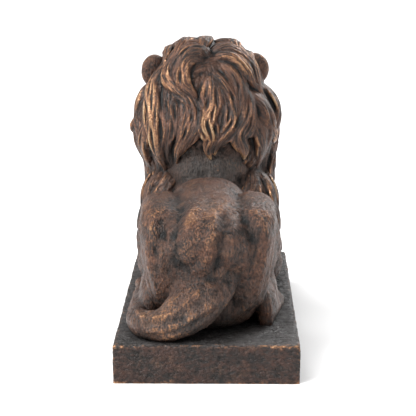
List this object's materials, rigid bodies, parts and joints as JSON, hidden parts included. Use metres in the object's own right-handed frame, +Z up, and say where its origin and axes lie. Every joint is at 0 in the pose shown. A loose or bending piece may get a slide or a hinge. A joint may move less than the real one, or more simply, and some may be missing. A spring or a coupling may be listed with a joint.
{
  "type": "lying lion statue",
  "caption": "Lion lying alert on a low oblong plinth, head raised, long mane, tail curled round its flank, in an aged bronze finish.",
  "frame": {"origin": "centre of the plinth's underside", "axes": "+Z up; -Y the way the lion faces; +X the lion's left"},
  "size_m": [0.2, 0.4696, 0.3451],
  "materials": {
    "bronze_patina": "cast resin with an aged bronze finish: near-black in the hollows, copper-brown on the body, rubbed copper-gold on the ridges"
  },
  "bodies": {
    "root": {"lion_statue": "bronze_patina"}
  },
  "joints": []
}
